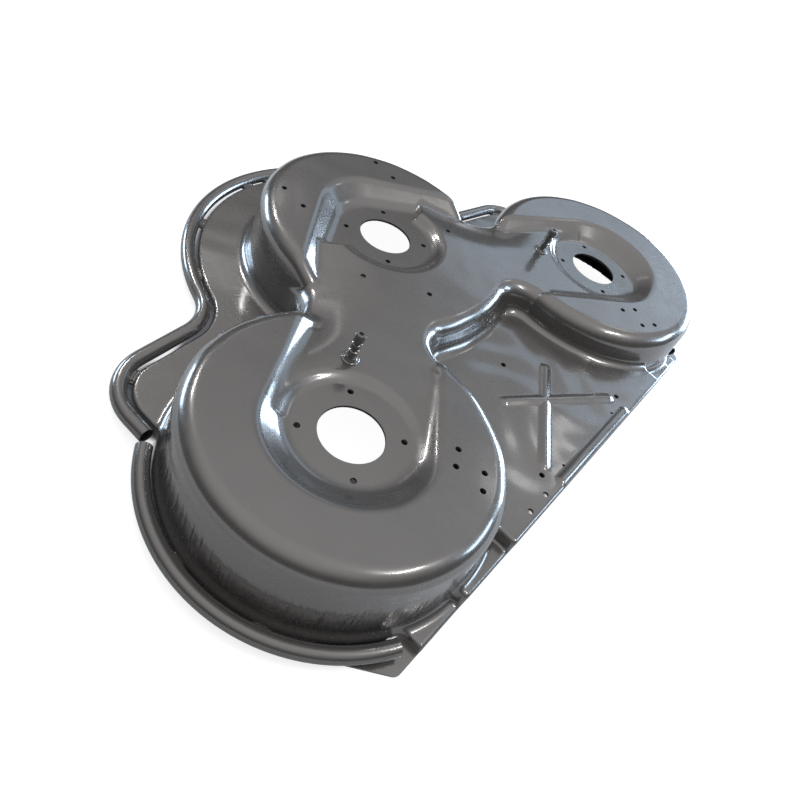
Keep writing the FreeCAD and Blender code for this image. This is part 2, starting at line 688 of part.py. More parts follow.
def post_sketch(name):
    """Closed half section in the plane of the post's axis, every corner bound to the sizes."""
    sketch = doc.addObject("Sketcher::SketchObject", name)
    sketch.Placement = FreeCAD.Placement(V(0, 0, 0), FreeCAD.Rotation(V(1, 0, 0), 90))
    height = d("post_height")
    corners = [V(d(size) * share if size else 0.0, height * up, 0) for size, share, up in POST_SECTION]
    count = len(corners)
    for i in range(count):
        sketch.addGeometry(Part.LineSegment(corners[i], corners[(i + 1) % count]), False)
    for i in range(count):
        sketch.addConstraint(Sketcher.Constraint("Coincident", i, 2, (i + 1) % count, 1))
    for i, (size, share, up) in enumerate(POST_SECTION):
        if size:
            n = sketch.addConstraint(Sketcher.Constraint("DistanceX", -1, 1, i, 1, corners[i].x))
            sketch.setExpression("Constraints[%d]" % n, "dims.%s * %g" % (size, share))
        else:
            sketch.addConstraint(Sketcher.Constraint("PointOnObject", i, 1, -2))
        if up > 0.0:
            n = sketch.addConstraint(Sketcher.Constraint("DistanceY", -1, 1, i, 1, corners[i].y))
            sketch.setExpression("Constraints[%d]" % n, "dims.post_height * %g" % up)
        else:
            sketch.addConstraint(Sketcher.Constraint("PointOnObject", i, 1, -1))
    return sketch


for side, word in ((-1.0, "left"), (1.0, "right")):
    turned = doc.addObject("Part::Revolution", "post_" + word)
    turned.Source = post_sketch("post_section_" + word)
    turned.Axis = V(0, 0, 1)
    turned.Base = V(0, 0, 0)
    turned.Angle = 360
    turned.Solid = True
    lean = d("plateau_tilt")
    seat_z = d("plateau_rise") + math.tan(math.radians(lean)) * d("post_y")
    turned.Placement = FreeCAD.Placement(V(side * d("post_x"), d("post_y"), seat_z),
                                         FreeCAD.Rotation(V(1, 0, 0), lean))
    turned.Label = "post_" + word
    parts.append(turned)

doc.recompute()
for item in doc.Objects:
    if "Invalid" in item.State or "Error" in item.State:
        raise RuntimeError("object did not build: " + item.Name)
for item in parts:
    if item.Shape.isNull() or not item.Shape.isValid():
        raise RuntimeError("bad shape: " + item.Name)
    item.Shape.exportStep("parts/" + item.Label + ".step")
    print(item.Label, len(item.Shape.Solids), round(item.Shape.Volume))
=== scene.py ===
import math
import random

import bmesh
import bpy
import numpy as np
from mathutils import Matrix, Vector


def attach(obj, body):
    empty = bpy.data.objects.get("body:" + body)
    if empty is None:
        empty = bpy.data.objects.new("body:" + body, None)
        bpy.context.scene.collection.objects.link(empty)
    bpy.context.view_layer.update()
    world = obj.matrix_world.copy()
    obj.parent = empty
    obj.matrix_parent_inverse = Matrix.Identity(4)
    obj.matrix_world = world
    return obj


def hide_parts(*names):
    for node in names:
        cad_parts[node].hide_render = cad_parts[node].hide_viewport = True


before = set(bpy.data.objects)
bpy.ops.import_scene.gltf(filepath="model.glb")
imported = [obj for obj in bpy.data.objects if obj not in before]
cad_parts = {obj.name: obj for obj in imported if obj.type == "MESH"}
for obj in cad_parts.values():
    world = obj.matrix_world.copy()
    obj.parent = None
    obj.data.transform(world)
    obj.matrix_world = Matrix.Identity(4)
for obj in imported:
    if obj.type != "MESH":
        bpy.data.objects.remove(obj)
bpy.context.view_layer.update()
MM = 0.001

# Driving dimensions of the deck, in millimetres and degrees, in the frame of the part's source
SHEET = 4.5
SIDE_X = 443.0
LEAD_Y = 319.0
RIM = -137.5
FLANGE = -113.0
LEDGE = -82.0
LOW_PLATE = -55.0
PLATEAU_RISE = 6.0
PLATEAU_TILT = 2.0
RING_RISE = 26.0
RING_TILT = 2.9
CHAMBER_RAD = 270.0
DRAFT = 2.5
NOTCH_DRAFT = 5.0
CROWN_FILLET = 30.0
SEAT_RAD = 107.0
WELL_SLOPE = 37.0
CHANNEL_AIM = 33.0
VALLEY_RAD = 84.7
DISH_SLOPE = 0.2667
DISH_DROP = -15.7
NOTCH_RAD = 56.0
NOTCH_Y = 10.0
NOTCH_BULGE_Y = 50.0
REAR_Y = -291.0
LOW_HALF = 330.0
LEDGE_HALF = 451.0
LEAD_FLANGE_RAD = 364.0
DIP_X = 451.0
DIP_RAD = 110.0
NOSE_X = 536.0
NOSE_Y = 267.0
NOSE_RAD = 77.0
SKIRT_RAD = 274.0
BEND_RAD = 7.0
BORE_RAD = 55.0
BOLT_CIRCLE_RAD = 85.5
HOLE_RAD = 5.5
SMALL_HOLE_RAD = 3.0
RIB_RAD = 9.0
RIB_RISE = 5.0
REAR_HALF = 548.0
REAR_REACH = 20.0
LOW_FRONT_Y = 130.0
LEDGE_FRONT_Y = -200.0

BELOW = RIM - 20.0
TAN_DRAFT = math.tan(math.radians(DRAFT))
COS_DRAFT = math.cos(math.radians(DRAFT))
TAN_WELL = math.tan(math.radians(WELL_SLOPE))
COS_WELL = math.cos(math.radians(WELL_SLOPE))
WALL_RAD = CHAMBER_RAD + BELOW * TAN_DRAFT


def smooth_step(low, high, value):
    """Smooth change from 0 to 1 between two values."""
    t = np.clip((value - low) / (high - low), 0.0, 1.0)
    return t * t * (3.0 - 2.0 * t)


def round_out(a, b, r):
    """Common part of two solids given as distances, with the convex edge rounded by r."""
    corner = np.hypot(np.maximum(r + a, 0.0), np.maximum(r + b, 0.0))
    return np.minimum(-r, np.maximum(a, b)) + corner


def round_in(a, b, r):
    """Both solids joined, with the hollow corner between them filled by radius r."""
    corner = np.hypot(np.maximum(r - a, 0.0), np.maximum(r - b, 0.0))
    return np.maximum(r, np.minimum(a, b)) - corner


def ease_out(a, b, k):
    """Common part of two solids that meet at a shallow angle, with a soft edge."""
    return np.maximum(a, b) + np.maximum(k - np.abs(a - b), 0.0) ** 2 / (4.0 * k)


def ease_in(a, b, k):
    """Both solids joined at a shallow angle, with a soft hollow between them."""
    return np.minimum(a, b) - np.maximum(k - np.abs(a - b), 0.0) ** 2 / (4.0 * k)


class Outline:
    """Smooth plan line of arcs and straight runs on the left half, mirrored to the right."""

    def __init__(self):
        self.runs = []

    def arc(self, centre, rad, a0, a1, hollow=False):
        self.runs.append(("arc", centre, rad, math.radians(a0), math.radians(a1), hollow))

    def line(self, start, end):
        """Straight run with the inside on its left."""
        self.runs.append(("line", start, end))

    def distance(self, x, y):
        x = -np.abs(x)
        best = np.full(np.shape(x), 1e9)
        signed = np.zeros(np.shape(x))
        for run in self.runs:
            if run[0] == "arc":
                away, side = self.to_arc(x, y, *run[1:])
            else:
                away, side = self.to_line(x, y, *run[1:])
            nearer = away < best
            best = np.where(nearer, away, best)
            signed = np.where(nearer, np.where(side > 0.0, away, -away), signed)
        return signed

    @staticmethod
    def to_arc(x, y, centre, rad, a0, a1, hollow):
        dx = x - centre[0]
        dy = y - centre[1]
        angle = np.mod(np.arctan2(dy, dx) - a0, 2.0 * math.pi)
        inside_span = angle <= a1 - a0
        ring = np.hypot(dx, dy) - rad
        ends = [np.hypot(dx - rad * math.cos(a), dy - rad * math.sin(a)) for a in (a0, a1)]
        away = np.where(inside_span, np.abs(ring), np.minimum(*ends))
        return away, -ring if hollow else ring

    @staticmethod
    def to_line(x, y, start, end):
        ux = end[0] - start[0]
        uy = end[1] - start[1]
        length = math.hypot(ux, uy)
        ux /= length
        uy /= length
        along = np.clip((x - start[0]) * ux + (y - start[1]) * uy, 0.0, length)
        away = np.hypot(x - start[0] - along * ux, y - start[1] - along * uy)
        return away, (x - start[0]) * uy - (y - start[1]) * ux


def heading(start, end):
    """Direction from one plan place to another, in degrees."""
    return math.degrees(math.atan2(end[1] - start[1], end[0] - start[0]))


def polar(centre, rad, deg):
    """Plan place at a distance and direction from a centre."""
    a = math.radians(deg)
    return (centre[0] + rad * math.cos(a), centre[1] + rad * math.sin(a))


LEFT = (-SIDE_X, 0.0)
LEAD = (0.0, LEAD_Y)
RIGHT = (SIDE_X, 0.0)


def valley_centre():
    """Centre of the bite circle that touches the left and the lead chamber."""
    mid = ((LEFT[0] + LEAD[0]) / 2.0, (LEFT[1] + LEAD[1]) / 2.0)
    half = math.dist(LEFT, LEAD) / 2.0
    reach = math.sqrt((WALL_RAD + VALLEY_RAD) ** 2 - half ** 2)
    out = math.radians(heading(LEFT, LEAD) + 90.0)
    return (mid[0] + reach * math.cos(out), mid[1] + reach * math.sin(out))


VALLEY = valley_centre()
POCKET = (-SIDE_X + math.sqrt((WALL_RAD + NOTCH_RAD) ** 2 - NOTCH_Y ** 2), NOTCH_Y)


def bulge_centre_y():
    """Height of the centre of the flat bulge that touches both pockets of the rear edge."""
    gain = NOTCH_RAD - NOTCH_BULGE_Y
    return (POCKET[0] ** 2 + NOTCH_Y ** 2 - gain ** 2) / (2.0 * (gain + NOTCH_Y))


def body_outline():
    """Plan line of the drafted walls at the seat plane."""
    line = Outline()
    bulge = (0.0, bulge_centre_y())
    line.arc(LEFT, WALL_RAD, heading(LEFT, VALLEY), heading(LEFT, POCKET) + 360.0)
    line.arc(VALLEY, VALLEY_RAD, heading(VALLEY, LEFT), heading(VALLEY, LEAD), hollow=True)
    line.arc(LEAD, WALL_RAD, 60.0, heading(LEAD, VALLEY))
    line.arc(POCKET, NOTCH_RAD, heading(POCKET, bulge), heading(POCKET, LEFT) + 360.0, hollow=True)
    line.arc(bulge, bulge[1] - NOTCH_BULGE_Y, heading(bulge, POCKET), -60.0)
    return line


def flange_outline():
    """Plan line of the front flange: lead arc, hollow bend, rounded nose and straight side."""
    line = Outline()
    dip = (-DIP_X, LEAD_Y + math.sqrt((LEAD_FLANGE_RAD + DIP_RAD) ** 2 - DIP_X ** 2))
    nose = (-NOSE_X, NOSE_Y)
    gap = math.dist(dip, nose)
    normal = heading(nose, dip) + math.degrees(math.acos((NOSE_RAD + DIP_RAD) / gap))
    side_x = -NOSE_X - NOSE_RAD
    line.arc(LEAD, LEAD_FLANGE_RAD, 60.0, heading(LEAD, dip))
    line.arc(dip, DIP_RAD, normal - 180.0, heading(dip, LEAD), hollow=True)
    line.line(polar(dip, DIP_RAD, normal - 180.0), polar(nose, NOSE_RAD, normal))
    line.arc(nose, NOSE_RAD, normal, 180.0)
    line.line((side_x, NOSE_Y), (side_x, -300.0))
    return line


BODY = body_outline()
FRONT_FLANGE = flange_outline()


def channel_distance(name, x, y):
    """Plan distance from the middle line of a seat and its channel, and how far along the channel."""
    aim = math.radians(CHANNEL_AIM)
    if name == "lead":
        dx = np.abs(x)
        dy = y - LEAD_Y
        nx = math.sin(aim)
        ny = math.cos(aim)
        side = dx * nx + dy * ny
        behind = dx * ny - dy * nx > 0.0
        tip = np.hypot(dx, dy)
        flank = np.maximum(side, 0.0)
        return np.where(behind, flank, tip), -dy
    dx = x + SIDE_X if name == "left" else SIDE_X - x
    along = dx * math.cos(aim) + y * math.sin(aim)
    across = -dx * math.sin(aim) + y * math.cos(aim)
    return np.where(along > 0.0, np.abs(across), np.hypot(dx, y)), along


def outward(name, x, y):
    """Distance from a spindle, counted towards the outside of the deck."""
    if name == "lead":
        return y - LEAD_Y
    return -x - SIDE_X if name == "left" else x - SIDE_X


CENTRES = {"left": LEFT, "lead": LEAD, "right": RIGHT}

# Softness of the edges and hollows of the skin, in millimetres
RING_EDGE = 6.0
SEAT_CORNER = 6.0
PLATEAU_EDGE = 5.0
PLATEAU_FILLET = 28.0
DISH_EDGE = 12.0
FLANGE_ROOT = 22.0
LOW_ROOT = 18.0
NOTCH_ROOT_GAIN = 4.0
FLANGE_BLEND = 12.0
RIB_BLEND = 6.0
JOIN_SHARP = 1.0
JOIN_GAIN = 9.0
JOIN_EXTRA = (4.0, 30.0)
JOIN_INSIDE = (25.0, 50.0)

# Reach of the steeper wall of the rear pockets, in millimetres
NOTCH_SIDE = (120.0, 176.0)
NOTCH_FRONT = (90.0, 140.0)

# The corner of a seat ends behind its spindle, where the slope of the ring takes over
SEAT_END = 8.0
SEAT_END_SLOPE = 1.2

# Slight waviness of the drawn sheet, calm round the seats and at the rear edge, in millimetres
SHEET_WAVE = 0.28
LOW_PLATE_WAVE = 1.6
WAVE_SEAT_RADS = (110.0, 190.0)
WAVE_REAR_FADE = 40.0


def plan_fields(x, y):
    """Everything that depends on the plan place alone."""
    fields = {"body": BODY.distance(x, y)}
    front = np.maximum(FRONT_FLANGE.distance(x, y), -y)
    skirt = np.hypot(np.abs(x) - SIDE_X, y) - SKIRT_RAD
    rear = np.maximum(np.abs(x) - REAR_HALF, np.maximum(REAR_Y - y, y - REAR_REACH))
    fields["flange"] = round_in(round_in(front, skirt, FLANGE_BLEND), rear, FLANGE_BLEND)
    for name, (cx, cy) in CENTRES.items():
        fields[name + "_rad"] = np.hypot(x - cx, y - cy)
        fields[name + "_way"], fields[name + "_along"] = channel_distance(name, x, y)
    fields["valley"] = np.hypot(np.abs(x) + VALLEY[0], y - VALLEY[1])
    calm = smooth_step(0.0, WAVE_REAR_FADE, y - REAR_Y)
    for cx, cy in CENTRES.values():
        calm = calm * smooth_step(*WAVE_SEAT_RADS, np.hypot(x - cx, y - cy))
    wave = np.sin(x / 21.0 + 1.3 * np.sin(y / 47.0)) * np.sin(y / 26.0 + 0.9 * np.sin(x / 39.0))
    calm = calm * (1.0 + LOW_PLATE_WAVE * smooth_step(60.0, 20.0, y) * smooth_step(260.0, 200.0, np.abs(x)))
    fields["wave"] = SHEET_WAVE * calm * (wave + 0.8 * np.sin((x + 0.6 * y) / 58.0 + 0.7))
    fields["notch"] = (1.0 - smooth_step(*NOTCH_SIDE, np.abs(x))) * (1.0 - smooth_step(*NOTCH_FRONT, y))
    return fields


def ring_solid(name, p, x, y, z):
    """One blade chamber with its tilted crown and the hollow of its seat and channel."""
    rad = p[name + "_rad"]
    wall = (rad - WALL_RAD + z * TAN_DRAFT) * COS_DRAFT
    tilt = math.tan(math.radians(RING_TILT))
    crown = (z - RING_RISE - outward(name, x, y) * tilt) * math.cos(math.radians(RING_TILT))
    slope = (z - (p[name + "_way"] - SEAT_RAD) * TAN_WELL) * COS_WELL
    return round_out(wall, ease_out(crown, slope, RING_EDGE), CROWN_FILLET)


def plateau_solid(p, x, y, z):
    """Plateau inside the walls, with its valley dips and the three spindle seats."""
    tilt = math.radians(PLATEAU_TILT)
    top = (z - PLATEAU_RISE - y * math.tan(tilt)) * math.cos(tilt)
    dish = (z - DISH_DROP - DISH_SLOPE * (p["valley"] - VALLEY_RAD)) / math.hypot(1.0, DISH_SLOPE)
    top = ease_out(top, dish, DISH_EDGE)
    for name in CENTRES:
        cone = z - (p[name + "_rad"] - SEAT_RAD) * TAN_WELL
        cone = cone + SEAT_END_SLOPE * np.maximum(-p[name + "_along"] - SEAT_END, 0.0)
        seat = ease_out(-z, -cone * COS_WELL, SEAT_CORNER)
        top = ease_out(top, -seat, PLATEAU_EDGE)
    steeper = math.tan(math.radians(NOTCH_DRAFT)) - TAN_DRAFT
    wall = p["body"] + z * (TAN_DRAFT + p["notch"] * steeper)
    return round_out(wall * COS_DRAFT, top, PLATEAU_FILLET)


def plate_solid(p, x, y, z):
    """Stepped rear plate and front flange, with the folded edge."""
    low = round_out(np.maximum(np.abs(x) - LOW_HALF, y - LOW_FRONT_Y), z - LOW_PLATE, BEND_RAD)
    ledge = round_out(np.maximum(np.abs(x) - LEDGE_HALF, y - LEDGE_FRONT_Y), z - LEDGE, BEND_RAD)
    steps = round_in(round_in(low, ledge, BEND_RAD), z - FLANGE, BEND_RAD)
    return round_out(p["flange"], steps, BEND_RAD)


# Ends of the two crossed ribs and of the rib along the rear edge
RIBS = ((-82.0, -102.0, 144.0, -236.0), (82.0, -102.0, -144.0, -236.0), (-144.0, -278.0, 144.0, -278.0))


def rib_distance(x, y, z):
    """Distance from the round ribs that stand a little out of the low plate."""
    sunk = LOW_PLATE - RIB_RAD + RIB_RISE
    best = None
    for x0, y0, x1, y1 in RIBS:
        length = math.hypot(x1 - x0, y1 - y0)
        ux = (x1 - x0) / length
        uy = (y1 - y0) / length
        along = np.clip((x - x0) * ux + (y - y0) * uy, 0.0, length)
        away = np.sqrt((x - x0 - along * ux) ** 2 + (y - y0 - along * uy) ** 2 + (z - sunk) ** 2) - RIB_RAD
        best = away if best is None else np.minimum(best, away)
    return best


def formed(p, x, y, z):
    """Distance from the outer skin of the stamping, negative inside."""
    solid = plateau_solid(p, x, y, z)
    for name in CENTRES:
        inside = WALL_RAD - p[name + "_rad"]
        extra = -p["body"] - inside
        softer = np.maximum(smooth_step(*JOIN_EXTRA, extra), smooth_step(*JOIN_INSIDE, inside))
        solid = ease_in(solid, ring_solid(name, p, x, y, z), JOIN_SHARP + JOIN_GAIN * softer)
    rear = smooth_step(-60.0, 60.0, -y)
    root = FLANGE_ROOT + (LOW_ROOT - FLANGE_ROOT) * rear + NOTCH_ROOT_GAIN * p["notch"]
    solid = round_in(solid, plate_solid(p, x, y, z), root)
    return round_in(solid, rib_distance(x, y, z), RIB_BLEND) + p["wave"]


def skin_value(points):
    """Distance of any points from the outer skin."""
    x, y, z = points.T
    return formed(plan_fields(x, y), x, y, z)


def skin_slope(points, step=0.4):
    """Direction of the steepest rise of the distance."""
    grad = np.empty_like(points)
    for axis in range(3):
        shift = np.zeros(3)
        shift[axis] = step
        grad[:, axis] = skin_value(points + shift) - skin_value(points - shift)
    return grad / (2.0 * step)


# Reach of the grid that the skin is found in
GRID_X = (-728.0, 728.0)
GRID_Y = (-300.0, 696.0)
GRID_TOP = 56.0


def surface_net(level, cell, floor):
    """Closed quad mesh of the skin at one depth, cut flat at the floor."""
    axis_x = np.arange(GRID_X[0], GRID_X[1] + cell, cell)
    axis_y = np.arange(GRID_Y[0], GRID_Y[1] + cell, cell)
    axis_z = np.arange(floor - 2.0 * cell, GRID_TOP, cell)
    gx, gy = np.meshgrid(axis_x, axis_y, indexing="ij")
    plan = plan_fields(gx, gy)
    values = np.empty(gx.shape + axis_z.shape)
    for k, height in enumerate(axis_z):
        z = np.full(gx.shape, height)
        values[:, :, k] = np.maximum(formed(plan, gx, gy, z) - level, floor - z)
    inside = values < 0.0
    counts = np.zeros(tuple(n - 1 for n in values.shape), int)
    for dx, dy, dz in np.ndindex(2, 2, 2):
        counts += inside[dx:values.shape[0] - 1 + dx, dy:values.shape[1] - 1 + dy,
                         dz:values.shape[2] - 1 + dz]
    active = np.argwhere((counts > 0) & (counts < 8))
    number = np.full(counts.shape, -1, np.int64)
    number[tuple(active.T)] = np.arange(len(active))
    total = np.zeros((len(active), 3))
    hits = np.zeros(len(active))
    for axis in range(3):
        others = [a for a in range(3) if a != axis]
        for du, dv in np.ndindex(2, 2):
            start = active.copy()
            start[:, others[0]] += du
            start[:, others[1]] += dv
            end = start.copy()
            end[:, axis] += 1
            f0 = values[tuple(start.T)]
            f1 = values[tuple(end.T)]
            crossed = (f0 < 0.0) != (f1 < 0.0)
            share = np.where(crossed, f0 / np.where(crossed, f0 - f1, 1.0), 0.0)
            place = start.astype(float)
            place[:, axis] += share
            total[crossed] += place[crossed]
            hits[crossed] += 1
    points = total / hits[:, None] * cell
    points += np.array([axis_x[0], axis_y[0], axis_z[0]])
    quads = []
    for axis in range(3):
        u, v = [(1, 2), (2, 0), (0, 1)][axis]
        low = [slice(None)] * 3
        high = [slice(None)] * 3
        low[axis] = slice(None, -1)
        high[axis] = slice(1, None)
        first = inside[tuple(low)]
        second = inside[tuple(high)]
        for falling in (False, True):
            edges = np.argwhere(first & ~second if not falling else ~first & second)
            edges = edges[(edges[:, u] > 0) & (edges[:, v] > 0)]
            ring = []
            for du, dv in ((-1, -1), (0, -1), (0, 0), (-1, 0)):
                cells = edges.copy()
                cells[:, u] += du
                cells[:, v] += dv
                ring.append(number[tuple(cells.T)])
            ring = np.stack(ring, axis=1)
            quads.append(ring[:, ::-1] if falling else ring)
    return points, np.concatenate(quads)


SETTLE_STEP = 2.0


def settle(points, level, floor, rounds=3):
    """Moves points that lie on the skin onto it exactly; those on the flat floor stay."""
    free = points[:, 2] > floor + 1.0
    for _ in range(rounds):
        live = points[free]
        value = skin_value(live) - level
        grad = skin_slope(live)
        size = np.maximum((grad ** 2).sum(1), 0.25)
        points[free] = live - grad * (np.clip(value, -SETTLE_STEP, SETTLE_STEP) / size)[:, None]
    return points


def add_object(name, data):
    obj = bpy.data.objects.new(name, data)
    bpy.context.scene.collection.objects.link(obj)
    return obj


def object_from(name, bm):
    """New object with the shapes of a bmesh, which is freed."""
    mesh = bpy.data.meshes.new(name)
    bm.to_mesh(mesh)
    bm.free()
    return add_object(name, mesh)


def bake_modifiers(obj):
    """Replaces the mesh by what its modifiers make of it."""
    graph = bpy.context.evaluated_depsgraph_get()
    mesh = bpy.data.meshes.new_from_object(obj.evaluated_get(graph))
    old = obj.data
    obj.modifiers.clear()
    obj.data = mesh
    bpy.data.meshes.remove(old)


def coordinates(mesh):
    """Places of all points of a mesh, one row each."""
    co = np.empty(len(mesh.vertices) * 3)
    mesh.vertices.foreach_get("co", co)
    return co.reshape(-1, 3)


def skin_body(name, level, cell, floor, triangles):
    """Closed body inside the skin at one depth, thinned out to the given number of triangles."""
    points, quads = surface_net(level, cell, floor)
    points = settle(points, level, floor)
    mesh = bpy.data.meshes.new(name)
    mesh.from_pydata(points.tolist(), [], quads.tolist())
    body = add_object(name, mesh)
    thin = body.modifiers.new("thin", "DECIMATE")
    thin.ratio = min(1.0, triangles / (2.0 * len(quads)))
    bake_modifiers(body)
    co = settle(coordinates(body.data), level, floor)
    body.data.vertices.foreach_set("co", co.ravel())
    return body


# Holes of both halves, given on the right, and holes that are on one side only
HOLES = [(334, -128), (366, -146), (334, -183), (366, -201), (142, 491), (142, 435), (168, -246)]
SINGLE_HOLES = [(143, 258), (-160, 243), (-68, 143), (0, -42), (-199, -273), (-254, -273)]
SMALL_HOLE = (110.0, -262.0)
BORE_SIDES = 128
HOLE_SIDES = 32
SMALL_HOLE_SIDES = 24
CUTTER_Z = -20.0
CUTTER_LENGTH = 200.0


def punch(name):
    """All hole cutters as one mesh."""
    bm = bmesh.new()

    def cutter(x, y, rad, sides):
        bmesh.ops.create_cone(bm, cap_ends=True, segments=sides, radius1=rad, radius2=rad,
                              depth=CUTTER_LENGTH, matrix=Matrix.Translation((x, y, CUTTER_Z)))

    for cx, cy in CENTRES.values():
        cutter(cx, cy, BORE_RAD, BORE_SIDES)
        for k in range(4):
            cutter(*polar((cx, cy), BOLT_CIRCLE_RAD, 45.0 + 90.0 * k), HOLE_RAD, HOLE_SIDES)
    for side in (-1.0, 1.0):
        for x, y in HOLES:
            cutter(side * x, y, HOLE_RAD, HOLE_SIDES)
        cutter(side * SMALL_HOLE[0], SMALL_HOLE[1], SMALL_HOLE_RAD, SMALL_HOLE_SIDES)
    for x, y in SINGLE_HOLES:
        cutter(x, y, HOLE_RAD, HOLE_SIDES)
    return object_from(name, bm)


def combine(obj, tool, operation, keep=False):
    """Cuts or joins a second object into the first, and removes it unless it is kept."""
    step = obj.modifiers.new("combine", "BOOLEAN")
    step.operation = operation
    step.solver = "MANIFOLD"
    step.object = tool
    bake_modifiers(obj)
    if not keep:
        bpy.data.objects.remove(tool)


# Rear corner foot: its rounded corner, the front end of its outer edge, and its inner outline
CORNER_X = 595.0
CORNER_RAD = 16.0
CORNER_STEPS = 12
CORNER_FRONT = (-70.0, -190.0)
CORNER_INNER = ((155.0, REAR_Y), (125.0, -240.0), (-5.0, -150.0))


def corner_foot(side):
    """Flat foot of a rear corner, level with the bottom rim."""
    x = -CORNER_X
    before = Vector((CORNER_FRONT[0], CORNER_FRONT[1] - REAR_Y, 0.0)).normalized()
    after = Vector((1.0, 0.0, 0.0))
    half = before.angle(after) / 2.0
    centre = Vector((x, REAR_Y, 0.0)) + (before + after).normalized() * (CORNER_RAD / math.sin(half))
    turn = math.pi - 2.0 * half
    outline = [(x + CORNER_FRONT[0], CORNER_FRONT[1])]
    for k in range(CORNER_STEPS + 1):
        a = -math.pi / 2.0 - turn * (1.0 - k / CORNER_STEPS)
        outline.append((centre.x + CORNER_RAD * math.cos(a), centre.y + CORNER_RAD * math.sin(a)))
    outline += [(x + px, py) for px, py in CORNER_INNER]
    if side > 0.0:
        outline = [(-px, py) for px, py in reversed(outline)]
    bm = bmesh.new()
    low = [bm.verts.new((px, py, RIM)) for px, py in outline]
    high = [bm.verts.new((px, py, RIM + SHEET)) for px, py in outline]
    bm.faces.new(low[::-1])
    bm.faces.new(high)
    count = len(outline)
    for k in range(count):
        n = (k + 1) % count
        bm.faces.new((low[k], low[n], high[n], high[k]))
    bmesh.ops.recalc_face_normals(bm, faces=bm.faces)
    return object_from("corner_foot", bm)


NEAR_SKIN = 1.2
ALIGNED = 0.6


def exact_normals(obj):
    """Corner normals taken from the form itself, so that the gloss runs smoothly over the skin."""
    mesh = obj.data
    corners = np.empty(len(mesh.loops), np.int64)
    mesh.loops.foreach_get("vertex_index", corners)
    flat = np.empty(len(mesh.polygons) * 3)
    mesh.polygons.foreach_get("normal", flat)
    flat = flat.reshape(-1, 3)
    sizes = np.empty(len(mesh.polygons), np.int64)
    mesh.polygons.foreach_get("loop_total", sizes)
    face = np.repeat(flat, sizes, axis=0)
    points = coordinates(mesh) / MM
    value = skin_value(points)
    grad = skin_slope(points)
    grad /= np.maximum(np.linalg.norm(grad, axis=1), 1e-9)[:, None]
    near_top = np.abs(value)[corners] < NEAR_SKIN
    near_under = np.abs(value + SHEET)[corners] < NEAR_SKIN
    rise = grad[corners]
    lined_up = (rise * face).sum(1)
    use_top = near_top & (lined_up > ALIGNED)
    use_under = near_under & (lined_up < -ALIGNED)
    normals = np.where(use_top[:, None], rise, np.where(use_under[:, None], -rise, face))
    mesh.normals_split_custom_set(normals.tolist())


OUTER_CELL = 4.0
OUTER_TRIANGLES = 120000
INNER_CELL = 6.0
INNER_TRIANGLES = 50000
INNER_REACH = 12.0


def deck_shell(material):
    """The stamped shell: outer skin less the inner skin, trimmed at the rim and punched."""
    shell = skin_body("deck_shell_formed", 0.0, OUTER_CELL, RIM, OUTER_TRIANGLES)
    feet = [corner_foot(side) for side in (-1.0, 1.0)]
    for foot in feet:
        combine(foot, shell, "DIFFERENCE", keep=True)
    inner = skin_body("inner", -SHEET, INNER_CELL, RIM - INNER_REACH, INNER_TRIANGLES)
    combine(shell, inner, "DIFFERENCE")
    for foot in feet:
        combine(shell, foot, "UNION")
    combine(shell, punch("cutters"), "DIFFERENCE")
    co = coordinates(shell.data)
    co[:, 1] = np.maximum(co[:, 1], REAR_Y)
    shell.data.vertices.foreach_set("co", co.ravel())
    shell.data.transform(Matrix.Scale(MM, 4))
    exact_normals(shell)
    shell.data.materials.clear()
    shell.data.materials.append(material)
    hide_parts("deck_shell")
    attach(shell, "root")


# Gloss paint, and the heights between which the draw wrinkles lie, in millimetres
PAINT_DARK = (0.165, 0.157, 0.153, 1.0)
PAINT_LIGHT = (0.185, 0.177, 0.172, 1.0)
PAINT_METALLIC = 0.62
PAINT_ROUGHNESS = (0.25, 0.32)
COAT_IOR = 1.7
COAT_ROUGHNESS = (0.1, 0.13)
PEEL_DEPTH = 0.00001
WRINKLE_DEPTH = 0.0022
WRINKLE_LOW = -108.0
WRINKLE_HIGH = -16.0
WRINKLE_WALL = (0.255, 0.262)


class Nodes:
    """Short way to build a node tree."""

    def __init__(self, tree):
        self.tree = tree

    def add(self, kind, **settings):
        node = self.tree.nodes.new(kind)
        for key, value in settings.items():
            setattr(node, key, value)
        return node

    def link(self, source, target):
        self.tree.links.new(source, target)

    def math(self, operation, *values):
        node = self.add("ShaderNodeMath", operation=operation)
        for k, value in enumerate(values):
            if isinstance(value, (int, float)):
                node.inputs[k].default_value = value
            else:
                self.link(value, node.inputs[k])
        return node.outputs[0]

    def ramp(self, value, low, high, to_low=0.0, to_high=1.0):
        node = self.add("ShaderNodeMapRange", interpolation_type="SMOOTHSTEP")
        self.link(value, node.inputs["Value"])
        node.inputs["From Min"].default_value = low
        node.inputs["From Max"].default_value = high
        node.inputs["To Min"].default_value = to_low
        node.inputs["To Max"].default_value = to_high
        return node.outputs["Result"]

    def noise(self, vector, scale, detail=2.0, roughness=0.5):
        node = self.add("ShaderNodeTexNoise")
        self.link(vector, node.inputs["Vector"])
        node.inputs["Scale"].default_value = scale
        node.inputs["Detail"].default_value = detail
        node.inputs["Roughness"].default_value = roughness
        return node.outputs["Fac"]


def plan_length(nodes, dx, dy):
    """Length of a plan distance given by its two parts."""
    square = nodes.math("ADD", nodes.math("MULTIPLY", dx, dx), nodes.math("MULTIPLY", dy, dy))
    return nodes.math("SQRT", square)


